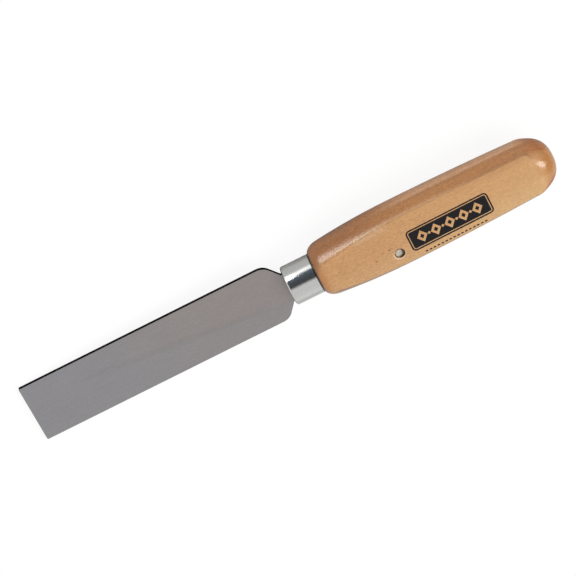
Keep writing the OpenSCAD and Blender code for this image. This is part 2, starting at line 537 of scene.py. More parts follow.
@dataclass(frozen=True)
class InkPrint:
    """The print on one flat: an ink bar with bare shapes in it, and a row of dashes beside it."""

    colour: Colour = (0.006, 0.0055, 0.008)
    roughness: float = 0.5
    specular: float = 0.2
    centre: Point2 = (61.3, -1.8)
    length: float = 32.0
    height: float = 8.6
    corner: float = 1.6
    line_inset: float = 0.75
    line_width: float = 0.32
    shapes: int = 5
    pitch: float = 5.4
    shape_half: Point2 = (2.0, 2.45)
    heart_share: float = 0.42
    dot_radius: float = 0.5
    dash_y: float = -7.9
    dash_x: Point2 = (48.6, 73.4)
    dash_pitch: float = 1.55
    dash_size: Point2 = (0.95, 0.5)
    bleed: Point2 = (0.16, 0.256)

    def mask(self, g: Graph, place: Term) -> Term:
        """Where ink lies on the flat that faces up.

        Args:
            g: The material's graph.
            place: The place in the tool's frame, in millimetres.

        Returns:
            1 on ink and 0 on bare wood.
        """
        x, y, z = g.split(place)
        wander = g.noise(place, (1.1, 4.0, 0.0), 3.0, 0.65) - 0.5
        u = x - self.centre[0] + wander * self.bleed[0]
        v = y - self.centre[1] + wander * self.bleed[1]
        edge = self._from_bar(u, v)
        line = abs(edge + self.line_inset) - self.line_width / 2
        bar = self._inside(edge) * (1 - self._inside(line).at_least(self._ornament(u, v)))
        starved = 1 - 0.5 * g.noise(place, (1.3, 7.0, 0.0), 3.0, 0.7).rise(0.62, 0.78)
        return bar.at_least(self._dashes(x, u, v)) * (z > 0.0) * starved

    def _from_bar(self, u: Term, v: Term) -> Term:
        """Distance to the edge of the round-cornered bar, less than 0 inside it."""
        du = abs(u) - (self.length / 2 - self.corner)
        dv = abs(v) - (self.height / 2 - self.corner)
        out_u = du.at_least(0.0)
        out_v = dv.at_least(0.0)
        return (out_u * out_u + out_v * out_v).root() + du.at_least(dv).at_most(0.0) - self.corner

    def _ornament(self, u: Term, v: Term) -> Term:
        """The bare shapes in the bar: open lozenges in a row, with a dot between each two."""
        wide, high = self.shape_half
        lozenge = abs(u.wrapped(self.pitch)) / wide + abs(v) / high
        shape = self._inside(lozenge - 1) * (1 - self._inside(lozenge / self.heart_share - 1))
        shape = shape * self._inside(abs(u) - self.pitch * self.shapes / 2)
        between = (u + self.pitch / 2).wrapped(self.pitch)
        dot = self._inside((between * between + v * v).root() - self.dot_radius)
        return shape.at_least(dot * self._inside(abs(u) - self.pitch * (self.shapes - 1) / 2))

    def _dashes(self, x: Term, u: Term, v: Term) -> Term:
        """The row of ink dashes beside the bar."""
        first, last = self.dash_x
        along = abs((u + self.centre[0]).wrapped(self.dash_pitch)) - self.dash_size[0] / 2
        across = abs(v + self.centre[1] - self.dash_y) - self.dash_size[1] / 2
        reach = abs(x - (first + last) / 2) - (last - first) / 2
        return self._inside(along.at_least(across)) * self._inside(reach)

    @staticmethod
    def _inside(distance: Term) -> Term:
        """1 where a distance is less than 0, with an edge as soft as a printed one."""
        return distance.rise(0.05, -0.05)


@dataclass(frozen=True)
class Tint:
    """A tone that multiplies the wood's colour where all its ramps, as Spot has them, have risen."""

    tone: Colour
    ramps: tuple[Ramp, ...]


class Spot:
    """A place on the handle, with the measures in millimetres and the noise that its look follows.

    A ramp names one of them, and says where it leaves 0 and where it reaches 1. below is how far a place
    lies under the upper flat, and depth how far under the layer of wood that the flat shows. That layer is
    crowned across the tool and dips towards the butt. past_flat grows from the long axis towards the sides
    and the butt, and from_shine is the distance to the butt's bright spot, seen from above.
    """

    CROWN_Y = 3.0
    CROWN_RADIUS = 107.0
    DIP_LENGTH = 9.0
    DIP_RADIUS = 16.0
    TONGUE_SLOPE = 0.52
    TONGUE_LENGTH = 7.6
    SHINE: Point2 = (100.2, 0.5)

    def __init__(self, g: Graph, lie: Lie, wood: "Handle") -> None:
        """Works out the measures and the noise for a handle that lies as lie says."""
        self.g = g
        self.place = lie.place(g)
        self.x, self.y, self.z = g.split(self.place)
        self.aside = abs(self.y)
        self.from_front = self.x - wood.front
        self.from_butt = self.from_front - wood.length
        self.past_joint = (self.y * self.y + self.z * self.z).root() - wood.joint_radius
        self.past_flat = self.aside + self.TONGUE_SLOPE * (self.from_butt + self.TONGUE_LENGTH)
        self.from_shine = self.distance(self.SHINE)
        self.below = wood.flats_front / 2 - wood.flat_fall() * self.from_front - self.z
        drift = self.noise((0.02, 0.07, 0.05)) - 0.5
        side = self.y - self.CROWN_Y
        dip = (self.from_butt + self.DIP_LENGTH).at_least(0.0)
        self.depth = (self.below - side * side / (2 * self.CROWN_RADIUS) - drift * 0.7
                      - dip * dip / (2 * self.DIP_RADIUS))
        self.fibre = self.noise((0.11, 2.6, 2.6), 4.0, 0.62)
        self.fleck = self.noise((0.5, 3.6, 3.6)).rise(0.58, 0.72)
        self.grit = self.noise((0.8, 1.9, 1.9), 4.0, 0.75)

    def noise(self, scale: Point3, detail: float = 2.0, roughness: float = 0.5) -> Term:
        """Smooth noise at the place, as Graph.noise gives it."""
        return self.g.noise(self.place, scale, detail, roughness)

    def distance(self, centre: Point2, squash: float = 1.0) -> Term:
        """Distance from a centre, seen from above, with its part along X squashed."""
        u, v = self.x - centre[0], self.y - centre[1]
        return (u * u * squash + v * v).root()

    def ramp(self, *ramps: Ramp) -> Term:
        """The product of ramps."""
        steps = [getattr(self, name).rise(start, end) for name, start, end in ramps]
        return math.prod(steps[1:], start=steps[0])

    def tinted(self, colour: Term, tints: Sequence[Tint]) -> Term:
        """A colour with several tints laid on."""
        for tint in tints:
            colour = self.g.tinted(colour, self.ramp(*tint.ramps), tint.tone)
        return colour


@dataclass(frozen=True)
class LacqueredWood:
    """Clear-lacquered hardwood, pale on the flats and deeper on the sides, with ink on the upper flat.

    The growth rings lie nearly level, along the upper flat. That flat shows one layer and is plain, and the
    sides and the butt cut through many, which show there as fine dark lines and arcs. Each group of ramps
    says where something lies: the one for the front streak marks a painted highlight, paler colour laid
    where the lacquer's streak shines; sanded is duller lacquer beside the butt's bright spot; honeyed is
    the butt's even part; the one for the band low on the sides marks a sapwood tone that is partly a
    painted reflection of the bright floor seen at a grazing angle; and the one at the ferrule marks painted
    shade, the dark line where the wood meets it.
    """

    pale: Colour = (0.600, 0.328, 0.130)
    honey: Colour = (0.530, 0.258, 0.083)
    front_tone: Colour = (0.98, 0.92, 0.87)
    rear_tone: Colour = (1.06, 1.06, 1.05)
    shaded_lower_edge_tone: Colour = (0.44, 0.35, 0.29)
    deep: Colour = (0.440, 0.158, 0.030)
    deep_rear: Colour = (0.600, 0.247, 0.060)
    sapwood_and_reflection: Colour = (0.820, 0.435, 0.215)
    late_wood: Colour = (0.250, 0.088, 0.034)
    # colour of the painted shade at the joint with the ferrule
    joint_shadow_colour: Colour = (0.030, 0.015, 0.009)
    # pale colour of torn fibres, also laid along the front streak as a painted highlight
    torn: Colour = (0.760, 0.560, 0.380)
    mouth_shade: Colour = (0.085, 0.043, 0.022)
    flat_tints: tuple[Tint, ...] = (
        Tint((1.06, 1.17, 1.32), (("y", 0.5, -8.0),)),  # the -Y part
        Tint((0.86, 0.80, 0.76), (("y", 4.0, 9.0), ("x", 55.0, 85.0))),  # the +Y edge, at the rear
    )
    side_tints: tuple[Tint, ...] = (
        Tint((0.80, 0.72, 0.62), (("below", 0.05, 0.3), ("below", 1.5, 0.6), ("y", 4.0, 6.0),
                                  ("x", 60.0, 80.0), ("from_butt", -5.0, -8.0))),  # a line by the flat
        # painted shade: darker wood low on the +Y side near the front
        Tint((0.48, 0.44, 0.42), (("z", -1.8, -3.2), ("y", 3.0, 6.0), ("x", 40.0, 25.0))),  # low in front
    )
    butt_tints: tuple[Tint, ...] = (
        Tint((0.80, 0.69, 0.58), (("from_butt", -9.0, -2.5),)),  # the end grain
        Tint((0.86, 0.80, 0.81), (("from_butt", -12.0, -6.0), ("past_flat", 7.2, 9.0))),  # past the flat
        Tint((0.97, 0.90, 0.72), (("from_shine", 5.0, 2.0),)),  # round the bright spot
    )
    shaded_lower_edge: tuple[Ramp, ...] = (
        ("y", -5.5, -6.5), ("below", 0.01, 0.14), ("x", 12.0, 17.0), ("from_butt", -6.0, -14.0),
    )
    # painted highlight: where paler colour is laid along the front streak
    streak_sheen: tuple[Ramp, ...] = (
        ("y", 5.6, 7.2), ("x", 22.0, 31.0), ("x", 44.0, 36.0), ("grit", 0.35, 0.6), ("below", 0.9, 0.3),
    )
    sanded: tuple[Ramp, ...] = (
        ("aside", 2.5, 3.9), ("from_butt", -11.5, -10.0), ("from_butt", -2.0, -4.5),
    )
    honeyed: tuple[Ramp, ...] = (("from_butt", -11.0, -8.0), ("past_flat", 8.6, 7.4))
    # partly painted reflection: where the pale sapwood tone shows low on the sides
    sapwood_and_reflection_band: tuple[Ramp, ...] = (("depth", 4.2, 5.5), ("x", 34.0, 58.0), ("from_butt", -4.0, -11.0))
    # painted shade: the dark line on the wood where it meets the ferrule
    joint_shadow: tuple[Ramp, ...] = (("from_front", 0.9, 0.25), ("past_joint", 2.2, 0.7))
    ring_width: float = 0.66
    deep_at: Point2 = (1.3, 0.55)
    underside_shade: float = 0.84
    roughness: float = 0.21
    ior: float = 1.68
    fibre_depth: float = 0.036
    hole: Point2 = (40.5, -4.05)
    hole_radius: float = 2.0
    flat_by_pin: float = 7.80
    specks: tuple[Point3, ...] = (
        (32.1, -2.8, 0.34), (35.1, -0.9, 0.28), (37.8, -1.0, 0.42), (39.0, -0.8, 0.28),
    )
    ink: InkPrint = InkPrint()

    def material(self, lie: Lie, wood: "Handle") -> Material:
        """Builds the finish.

        Args:
            lie: How the tool lies.
            wood: The handle that takes the finish.

        Returns:
            The new material.
        """
        made, g = new_material("lacquered_wood")
        at = Spot(g, lie, wood)
        bump = self._relief(at)
        bare = g.skin({
            "Base Color": self._marked(at, self._colour(at)),
            "Roughness": self._roughness(at),
            "IOR": self.ior,
            "Normal": bump,
        })
        inked = g.skin({
            "Base Color": (*self.ink.colour, 1.0),
            "Roughness": self.ink.roughness,
            "Specular IOR Level": self.ink.specular,
            "Normal": bump,
        })
        g.show(g.mix(self.ink.mask(g, at.place), bare, inked))
        return made

    def _colour(self, at: Spot) -> Term:
        """The wood's colour: the pale layer, the deeper wood that the sides show, rings and edges."""
        g = at.g
        honeyed = at.ramp(*self.honeyed)
        sooner = self.deep_at[0] + (self.deep_at[1] - self.deep_at[0]) * at.x.rise(38.0, 70.0)
        inner = (at.depth / sooner).rise(0.08, 1.0) * (1 - 0.85 * honeyed)
        deep = g.blend(at.x.rise(22.0, 56.0), self.deep, self.deep_rear)
        colour = g.blend(inner * (0.80 + 0.3 * at.fibre).share(), self._pale_layer(at), deep)
        # partly painted reflection: a pale sapwood tone low on the sides, standing in for the bright floor
        # that the lacquer mirrors there at a grazing angle
        colour = g.blend(at.ramp(*self.sapwood_and_reflection_band) * 0.92, colour, self.sapwood_and_reflection)
        # painted shade: a dark band just under the flat's edge on the -Y side, where the barrel turns away
        # from the light
        lower_edge_shade = at.ramp(*self.shaded_lower_edge) * (1 - 0.6 * at.below.rise(0.5, 3.0))
        colour = at.tinted(g.tinted(colour, lower_edge_shade, self.shaded_lower_edge_tone), self.side_tints)
        speckle = 1.0 + (0.88 + 0.3 * at.x.rise(62.0, 46.0) + 0.5 * inner) * (at.grit - 0.5)
        # painted shade: the wood darkens below the long axis, towards the floor
        speckle = speckle * (1 - (1 - self.underside_shade) * at.z.rise(1.4, -0.2))
        colour = g.times(colour, g.join(speckle, speckle, speckle))
        colour = g.blend(self._rings(at) * (1 - 0.8 * honeyed), colour, self.late_wood)
        colour = g.blend(at.fleck * (0.16 + 0.2 * inner), colour, self.late_wood)
        colour = at.tinted(colour, self.butt_tints)
        # painted highlight: paler colour along the front streak, where the lacquer shines
        colour = g.blend(at.ramp(*self.streak_sheen) * 0.3, colour, self.torn)
        # painted shade on the nose, darkening towards the ferrule
        colour = g.blend(at.from_front.rise(4.2, 0.8) * 0.75, colour, self.deep)
        # painted shade at the joint with the ferrule
        return g.blend(at.ramp(*self.joint_shadow) * 0.95, colour, self.joint_shadow_colour)

    def _pale_layer(self, at: Spot) -> Term:
        """The colour of the layer that the upper flat shows."""
        cloud = at.noise((0.06, 0.16, 0.16), 3.0)
        curl = at.noise((0.42, 0.12, 0.12))
        warm = (0.55 * at.fibre.rise(0.3, 0.75) + 0.5 * cloud + 0.3 * curl - 0.28).share()
        tone = at.g.blend(at.x.rise(25.0, 85.0), self.front_tone, self.rear_tone)
        return at.tinted(at.g.times(at.g.blend(warm * 0.8, self.pale, self.honey), tone), self.flat_tints)

    def _rings(self, at: Spot) -> Term:
        """How much the late wood of a growth ring shows."""
        ring = at.depth / self.ring_width + at.noise((0.05, 0.25, 0.25)) * 1.4
        step = ring.fraction()
        late = step.rise(0.25, 0.85) * step.rise(1.0, 0.9)
        year = at.g.term("ShaderNodeTexWhiteNoise", {"W": ring.whole()}, "Value", noise_dimensions="1D")
        patch = at.noise((0.035, 0.2, 0.6)).rise(0.3, 0.65)
        shown = at.depth.rise(0.15, 0.6) * (0.45 + 0.55 * at.x.rise(28.0, 60.0))
        strong = 0.5 + 0.2 * at.ramp(("x", 50.0, 80.0), ("x", 101.0, 95.0))
        return late * (0.3 + 0.7 * year) * (0.3 + 0.7 * patch) * shown * strong

    def _marked(self, at: Spot, colour: Term) -> Term:
        """Adds the small dark specks by the pin, and its hole's shaded mouth with pale torn fibres."""
        g = at.g
        up = at.z > 0.0
        for speck_x, speck_y, radius in self.specks:
            spot = at.distance((speck_x, speck_y), 0.5).rise(radius * 1.2, radius * 0.4) * up
            colour = g.blend(spot * 0.8, colour, self.late_wood)
        u, v = at.x - self.hole[0], at.y - self.hole[1]
        away = at.distance(self.hole) - self.hole_radius
        sunk = away.rise(0.6, 0.4) * (self.flat_by_pin - at.z).rise(0.12, 0.4)
        shaded = sunk * (u * 0.9 - v * 0.4).rise(0.2, 1.2) * up
        ragged = at.noise((1.1, 2.2, 0.0), 3.0, 0.7)
        rim = (away - 0.8 * ragged).rise(0.05, -0.4) * (1 - sunk)
        lower_left = (u * -0.6 - v * 0.8).rise(-0.6, 1.2)
        colour = g.blend(rim * lower_left * up * 0.85, colour, self.torn)
        return g.blend(shaded, colour, self.mouth_shade)

    def _roughness(self, at: Spot) -> Term:
        """The lacquer's roughness, lower on the butt and higher beside its bright spot."""
        rough = self.roughness + 0.05 * (at.fibre - 0.5) + 0.05 * at.fleck
        return rough - 0.05 * at.from_butt.rise(-10.0, -6.0) + 0.34 * at.ramp(*self.sanded)

    def _relief(self, at: Spot) -> Term:
        """The lacquer's bump: fibres, orange peel, and dots that are stronger along the front streak."""
        peel = at.noise((1.1, 1.5, 1.5), 2.0, 0.55)
        dots = at.noise((2.0, 2.4, 2.4), 1.0)
        dots = dots * (0.6 + 1.1 * at.ramp(("y", 5.0, 6.6), ("x", 52.0, 38.0)))
        return at.g.relief(at.fibre * 0.35 + peel * 0.65 + dots, self.fibre_depth)


@dataclass
class Blade:
    """The square-ended blade with its rounded shoulders, and the tang that the handle hides."""

    length: float = 101.6
    width: float = 23.0
    thickness: float = 1.6
    tip_corner: float = 0.5
    shoulder_round: float = 5.0
    shoulder_slope: float = 52.0
    neck_fillet: float = 2.0
    tang_width: float = 10.4
    tang_end: float = 52.3
    tang_chamfer: float = 2.0
    notch_radius: float = 1.6
    edge_break: float = 0.10
    edge_steps: int = 3
    guard: float = 0.2

    def whole_length(self) -> float:
        """Length of blade and tang together."""
        return self.length + self.tang_end

    def outline(self) -> list[Point2]:
        """The outline of blade and tang, clockwise from the square end's corner."""
        fall = self.shoulder_slope
        run = (self.width - self.tang_width) / 2 / math.tan(math.radians(fall))
        shoulder_x = -run - self.shoulder_round * math.tan(math.radians(fall / 2))
        neck_x = self.neck_fillet * math.tan(math.radians(fall / 2))
        half, neck, tip = self.width / 2, self.tang_width / 2, self.tip_corner
        side = [
            *arc((tip - self.length, half - tip), tip, 180, 90, 8),
            *arc((shoulder_x, half - self.shoulder_round), self.shoulder_round, 90, 90 - fall, 24),
            *arc((neck_x, neck + self.neck_fillet), self.neck_fillet, 270 - fall, 270, 12),
            (self.tang_end - self.tang_chamfer, neck),
            (self.tang_end, neck - self.tang_chamfer),
        ]
        other = [(x, -y) for x, y in reversed(side)]
        return [*side, *other[:2], *self._notch(neck), *other[2:]]

    def _notch(self, neck: float) -> list[Point2]:
        """The half-round notch where the cross pin holds the tang, on its -Y edge."""
        dip = math.degrees(math.asin((neck + PIN_CENTRE[1]) / self.notch_radius))
        return arc(PIN_CENTRE, self.notch_radius, -dip, 180 + dip, 20)

    def build(self, lie: Lie) -> Object:
        """Builds the blade with broken edges, and dresses it."""
        outline = self.outline()
        half, worn = self.thickness / 2, self.edge_break
        turns = [math.radians(90 * i / self.edge_steps) for i in range(self.edge_steps + 1)]
        levels = [(worn + self.guard, half)]
        levels += [(worn * (1 - math.sin(a)), half - worn * (1 - math.cos(a))) for a in turns]
        levels += [(depth, -z) for depth, z in reversed(levels)]
        shape = bmesh.new()
        rings = [[Vector((*p, z)) for p in inset(outline, depth)] for depth, z in levels]
        for strip in skin_rings(shape, rings)[2:-2]:
            for face in strip:
                face.material_index = 1
        cap_rings(shape, len(outline))
        shape.normal_update()
        bmesh.ops.triangulate(shape, faces=[f for f in shape.faces if len(f.verts) > 4])
        materials = [RolledSteel().material(lie), ShearedEdge().material(lie)]
        return make_piece("blade_steel", shape, lie, materials)


@dataclass
class Ferrule:
    """The drawn and plated tube with its front rim bent in over the end of the wood."""

    diameter: float = 14.8
    length: float = 11.0
    wall: float = 0.6
    bend: float = 0.2
    lip: float = 0.7
    rear_break: float = 0.12
    segments: int = 160

    def profile(self) -> list[Point2]:
        """The wall's section as places along the tool and distances from its axis."""
        outer = self.diameter / 2
        inner = outer - self.wall
        rim = self.wall + self.bend
        return [
            *arc((self.length - self.rear_break, outer - self.rear_break), self.rear_break, 0, 90, 4),
            *arc((rim, outer - rim), rim, 90, 180, 12),
            *arc((self.wall / 2, inner - self.lip), self.wall / 2, 180, 360, 8),
            *arc((rim, outer - rim), self.bend, 180, 90, 5),
            (self.length, inner),
        ]

    def build(self, lie: Lie) -> Object:
        """Turns the section round the tool's axis, and dresses it."""
        shape = bmesh.new()
        turn = circle(self.segments)
        rings = [[Vector((x, r * c, r * s)) for c, s in turn] for x, r in self.profile()]
        skin_rings(shape, [*rings, rings[0]])
        bmesh.ops.remove_doubles(shape, verts=shape.verts, dist=0.0001)
        return make_piece("ferrule_tube", shape, lie, [BrightPlate().material(lie)])


@dataclass
class CrossPin:
    """The steel pin through handle and tang, with its cropped ends a little below the flats."""

    diameter: float = 3.0
    half_length: float = 7.3
    crown: float = 0.12
    soft_rim: float = 0.2
    segments: int = 48
    rings: int = 6

    def profile(self) -> list[Point2]:
        """Half the section as distances from the pin's axis and heights, from one end to the other."""
        radius, high, soft = self.diameter / 2, self.half_length, self.soft_rim
        flat = [(radius - soft) * i / self.rings for i in range(1, self.rings + 1)]
        turns = [math.radians(30 * i) for i in (1, 2, 3)]
        end = [(radius * 0.02, high)]
        end += [(r, high - self.crown * (r / radius) ** 2) for r in flat]
        end += [(radius - soft + soft * math.sin(a), high - self.crown - soft * (1 - math.cos(a)))
                for a in turns]
        return [*end, *((r, -h) for r, h in reversed(end))]

    def build(self, lie: Lie) -> Object:
        """Builds the pin with a rounded rim and a slightly crowned end, and dresses it."""
        shape = bmesh.new()
        turn = circle(self.segments)
        x, y = PIN_CENTRE
        skin_rings(shape, [[Vector((x + r * c, y + r * s, h)) for c, s in turn] for r, h in self.profile()])
        cap_rings(shape, self.segments)
        return make_piece("cross_pin", shape, lie, [CroppedWire().material(lie)])


@dataclass
class Handle:
    """The turned wooden handle with two planed flats, its spigot, mortise and pin hole.

    A node tree makes it from its sizes: rings of a cut circle along the tool, which turn into ovals as the
    flats run out in the butt.
    """

    front: float = 11.0
    length: float = 93.0
    nose_length: float = 4.5
    joint_radius: float = 7.6
    front_diameter: float = 20.4
    belly_diameter: float = 23.4
    belly_place: float = 32.0
    rear_diameter: float = 21.4
    dome_length: float = 10.2
    flats_front: float = 16.6
    flats_rear: float = 13.4
    runout_length: float = 10.0
    edge_front: float = 0.6
    edge_rear: float = 0.5
    edge_butt: float = 4.0
    spigot_start: float = 0.9
    spigot_radius: float = 6.77
    spigot_overlap: float = 1.0
    mortise: Point3 = (52.4, 10.6, 1.8)
    hole_diameter: float = 3.06
    mouth_diameter: float = 3.80
    mouth_depth: float = 0.9
    mouth_shift: Point2 = (0.46, 0.06)
    mouth_tear: float = 0.16
    mouth_flare: float = 0.10
    mouth_seed: float = 7.3 / 0.9
    DOME_POWER = 2.4
    RUNOUT_POWER = 2.3
    TONGUE_SHARE = 0.65
    FLAT_NOSE_SHARE = 0.45
    NOSE_SHARE = 0.17
    DOME_SHARE = 0.33
    ARC_SHARE = 0.5
    FLAT_SHARE = 0.8
    EDGE_SHARE = 0.45
    RINGS = 241
    AROUND = 161
    QUARTER = math.pi / 2

    def sizes(self) -> dict[str, float]:
        """The sizes that the node tree takes, by the names of its inputs."""
        own = ("front", "length", "nose_length", "joint_radius", "belly_place", "dome_length",
               "runout_length", "edge_front", "edge_rear", "edge_butt")
        halved = {
            "front_radius": self.front_diameter,
            "belly_radius": self.belly_diameter,
            "rear_radius": self.rear_diameter,
            "half_front": self.flats_front,
            "half_rear": self.flats_rear,
        }
        return {name: getattr(self, name) for name in own} | {k: v / 2 for k, v in halved.items()}

    def flat_fall(self) -> float:
        """How much half the distance between the flats falls for each millimetre along the tool."""
        return (self.flats_front - self.flats_rear) / 2 / self.length

    def build(self, lie: Lie) -> Object:
        """Runs the node tree on an empty mesh, keeps its result as a plain mesh, and dresses it."""
        tree = self._tree(lie, LacqueredWood().material(lie, self))
        holder = add_object("handle_holder", bpy.data.meshes.new("handle_holder"))
        modifier = holder.modifiers.new("turned_handle", "NODES")
        modifier.node_group = tree
        sizes = self.sizes()
        for item in tree.interface.items_tree:
            if item.name in sizes:
                modifier[item.identifier] = sizes[item.name]
        evaluated = holder.evaluated_get(bpy.context.evaluated_depsgraph_get())
        mesh = bpy.data.meshes.new_from_object(evaluated)
        holder.modifiers.remove(modifier)
        bpy.data.objects.remove(holder)
        mesh.name = "handle_wood"
        return add_object("handle_wood", mesh)

    def _tree(self, lie: Lie, wood: Material) -> NodeTree:
        """Builds the node tree: the lofted barrel, its spigot and cut-outs, and the step to the lie.

        Args:
            lie: How the tool lies.
            wood: The handle's material.

        Returns:
            The tree, with an input for each size.
        """
        tree = bpy.data.node_groups.new("turned_handle", "GeometryNodeTree")
        for name in self.sizes():
            tree.interface.new_socket(name, in_out="INPUT", socket_type="NodeSocketFloat")
        tree.interface.new_socket("Geometry", in_out="OUTPUT", socket_type="NodeSocketGeometry")
        g = Graph(tree)
        given = g.node("NodeGroupInput")
        size = SimpleNamespace(**{name: Term(g, given.outputs[name]) for name in self.sizes()})
        blank = g.term("GeometryNodeMeshBoolean", {"Mesh 2": [self._barrel(g, size), self._spigot(g)]},
                       operation="UNION", solver="EXACT")
        cuts = [self._mortise(g), self._hole(g), *(self._mouth(g, side) for side in (1, -1))]
        drilled = g.term("GeometryNodeMeshBoolean", {"Mesh 1": blank, "Mesh 2": cuts},
                         operation="DIFFERENCE", solver="EXACT")
        laid = self._moved(g, drilled, Vector((lie.along, 0, lie.up)) * MM, (0.0, -lie.lean, 0.0), MM)
        bend = g.term("GeometryNodeInputMeshEdgeAngle", out="Unsigned Angle")
        soft = g.term("GeometryNodeSetShadeSmooth",
                      {"Geometry": laid, "Shade Smooth": bend < math.radians(38.0)}, domain="EDGE")
        soft = g.term("GeometryNodeSetShadeSmooth", {"Geometry": soft}, domain="FACE")
        real = g.term("GeometryNodeRealizeInstances", {"Geometry": soft})
        dressed = g.term("GeometryNodeSetMaterial", {"Geometry": real, "Material": wood})
        g.node("NodeGroupOutput", {"Geometry": dressed})
        return tree

    @staticmethod
    def _moved(
        g: Graph, mesh: Term, step: Sequence[float], turn: Point3 = (0.0, 0.0, 0.0), scale: float = 1.0
    ) -> Term:
        """A mesh, scaled, turned and then moved."""
        return g.term("GeometryNodeTransform", {
            "Geometry": mesh, "Translation": step, "Rotation": turn, "Scale": (scale, scale, scale),
        })

    @staticmethod
    def _rod(g: Graph, radius: float, length: float, around: int = 64, slices: int = 1) -> Term:
        """A cylinder along Z, with its centre at the origin."""
        return g.term("GeometryNodeMeshCylinder", {
            "Vertices": around, "Side Segments": slices, "Radius": radius, "Depth": length,
        })

    def _barrel(self, g: Graph, size: SimpleNamespace) -> Term:
        """The turned and flatted barrel, as a grid whose points follow from the sizes."""
        grid = g.term("GeometryNodeMeshGrid", {
            "Size X": 1.0, "Size Y": 1.0, "Vertices X": self.RINGS, "Vertices Y": self.AROUND,
        })
        across, around, _ = g.split(g.term("GeometryNodeInputPosition"))
        row = (across + 0.5) * (self.RINGS - 1)
        capped = row > 0.5
        x = self._station_place(size, ((row - 1) / (self.RINGS - 2)).share())
        y, z = self._section(size, x, around + 0.5)
        moved = g.term("GeometryNodeSetPosition",
                       {"Geometry": grid, "Position": g.join(x, y * capped, z * capped)})
        closed = g.term("GeometryNodeMergeByDistance", {"Geometry": moved, "Distance": 0.002})
        return g.term("GeometryNodeFlipFaces", {"Mesh": closed})

    def _station_place(self, size: SimpleNamespace, station: Term) -> Term:
        """Where along the tool a ring lies: close together on the nose and the dome."""
        nose = 1 - ((station / self.NOSE_SHARE).share() * self.QUARTER).cos()
        middle = ((station - self.NOSE_SHARE) / (1 - self.NOSE_SHARE - self.DOME_SHARE)).share()
        dome = (((station - 1 + self.DOME_SHARE) / self.DOME_SHARE).share() * self.QUARTER).sin()
        straight = size.length - size.nose_length - size.dome_length
        return size.front + size.nose_length * nose + straight * middle + size.dome_length * dome

    def _section(self, size: SimpleNamespace, x: Term, turn: Term) -> tuple[Term, Term]:
        """A point of the ring at x: a circle cut by the flats, which turns into an oval in the butt.

        Args:
            size: The tree's inputs.
            x: Where the ring lies along the tool.
            turn: The point's place round the ring, from 0 to 1.

        Returns:
            Its Y and Z.
        """
        radius, flat, oval, edge = self._ring_sizes(size, x)
        flat = flat.at_most(radius - 0.001)
        edge = edge.at_most(self.EDGE_SHARE * flat)
        corner_z = flat - edge
        corner_y = ((radius - edge) * (radius - edge) - corner_z * corner_z).root()
        meet = corner_z.angle(corner_y)
        q = (turn * 4).bounce(1.0)
        on_arc = (q / self.ARC_SHARE).share() * meet
        on_edge = ((q - self.ARC_SHARE) / (self.FLAT_SHARE - self.ARC_SHARE)).share()
        on_edge = meet + (self.QUARTER - meet) * on_edge
        on_flat = ((q - self.FLAT_SHARE) / (1 - self.FLAT_SHARE)).share()
        past_arc = q > self.ARC_SHARE
        cut_y = radius * on_arc.cos() * (1 - past_arc)
        cut_y = cut_y + (corner_y * (1 - on_flat) + edge * on_edge.cos()) * past_arc
        cut_z = radius * on_arc.sin() * (1 - past_arc) + (corner_z + edge * on_edge.sin()) * past_arc
        y = cut_y * (1 - oval) + radius * (q * self.QUARTER).cos() * oval
        z = cut_z * (1 - oval) + flat * (q * self.QUARTER).sin() * oval
        whole_turn = turn * math.tau
        return y * whole_turn.cos().sign(), z * whole_turn.sin().sign()

    def _ring_sizes(self, size: SimpleNamespace, x: Term) -> tuple[Term, Term, Term, Term]:
        """The sizes of one ring.

        Args:
            size: The tree's inputs.
            x: Where the ring lies along the tool.

        Returns:
            Its radius, half its thickness, its share of the oval, and the rounding of the flats' edges.
        """
        way = x - size.front
        from_butt = way - size.length
        to_belly = ((size.belly_place - way) / (size.belly_place - size.nose_length)).at_least(0.0)
        past_belly = ((way - size.belly_place)
                      / (size.length - size.dome_length - size.belly_place)).at_least(0.0)
        line = size.belly_radius - (size.belly_radius - size.front_radius) * to_belly * to_belly
        line = line - (size.belly_radius - size.rear_radius) * past_belly * past_belly
        dome = (from_butt / size.dome_length + 1).share()
        runout = (from_butt / size.runout_length + 1).share()
        turned = (runout / self.TONGUE_SHARE).at_most(1.0)
        nose = way / size.nose_length
        drop = (size.front_radius - size.joint_radius) * self._ease(nose)
        along = way / size.length
        half = size.half_front + (size.half_rear - size.half_front) * along
        step = (size.half_front - size.joint_radius) * self._ease(nose / self.FLAT_NOSE_SHARE)
        edge = size.edge_front + (size.edge_rear - size.edge_front) * along
        edge = edge + (size.edge_butt - edge) * runout.rise(0.1, 0.5)
        radius = self._fall(dome, self.DOME_POWER) * (line - drop)
        flat = self._fall(runout, self.RUNOUT_POWER) * (half - step)
        return radius, flat, turned * turned * (3 - 2 * turned), edge

    @staticmethod
    def _fall(share: Term, power: float) -> Term:
        """What a rounded end leaves of a size, from 1 where it starts to 0 at the butt."""
        return (1 - share ** power).at_least(0.0) ** (1 / power)

    @staticmethod
    def _ease(share: Term) -> Term:
        """Fall of a rounded shoulder, from 1 at its foot to 0 at its top."""
        left = 1 - share.share()
        return 1 - (1 - left * left).root()

    def _spigot(self, g: Graph) -> Term:
        """The spigot that the ferrule holds."""
        start, end = self.spigot_start, self.front + self.spigot_overlap
        rod = self._rod(g, self.spigot_radius, end - start, 128)
        return self._moved(g, rod, ((start + end) / 2, 0.0, 0.0), (0.0, self.QUARTER, 0.0))

    def _mortise(self, g: Graph) -> Term:
        """The slot that takes the tang, open at the spigot's end."""
        box = g.term("GeometryNodeMeshCube", {"Size": self.mortise})
        return self._moved(g, box, (self.mortise[0] / 2, 0.0, 0.0))

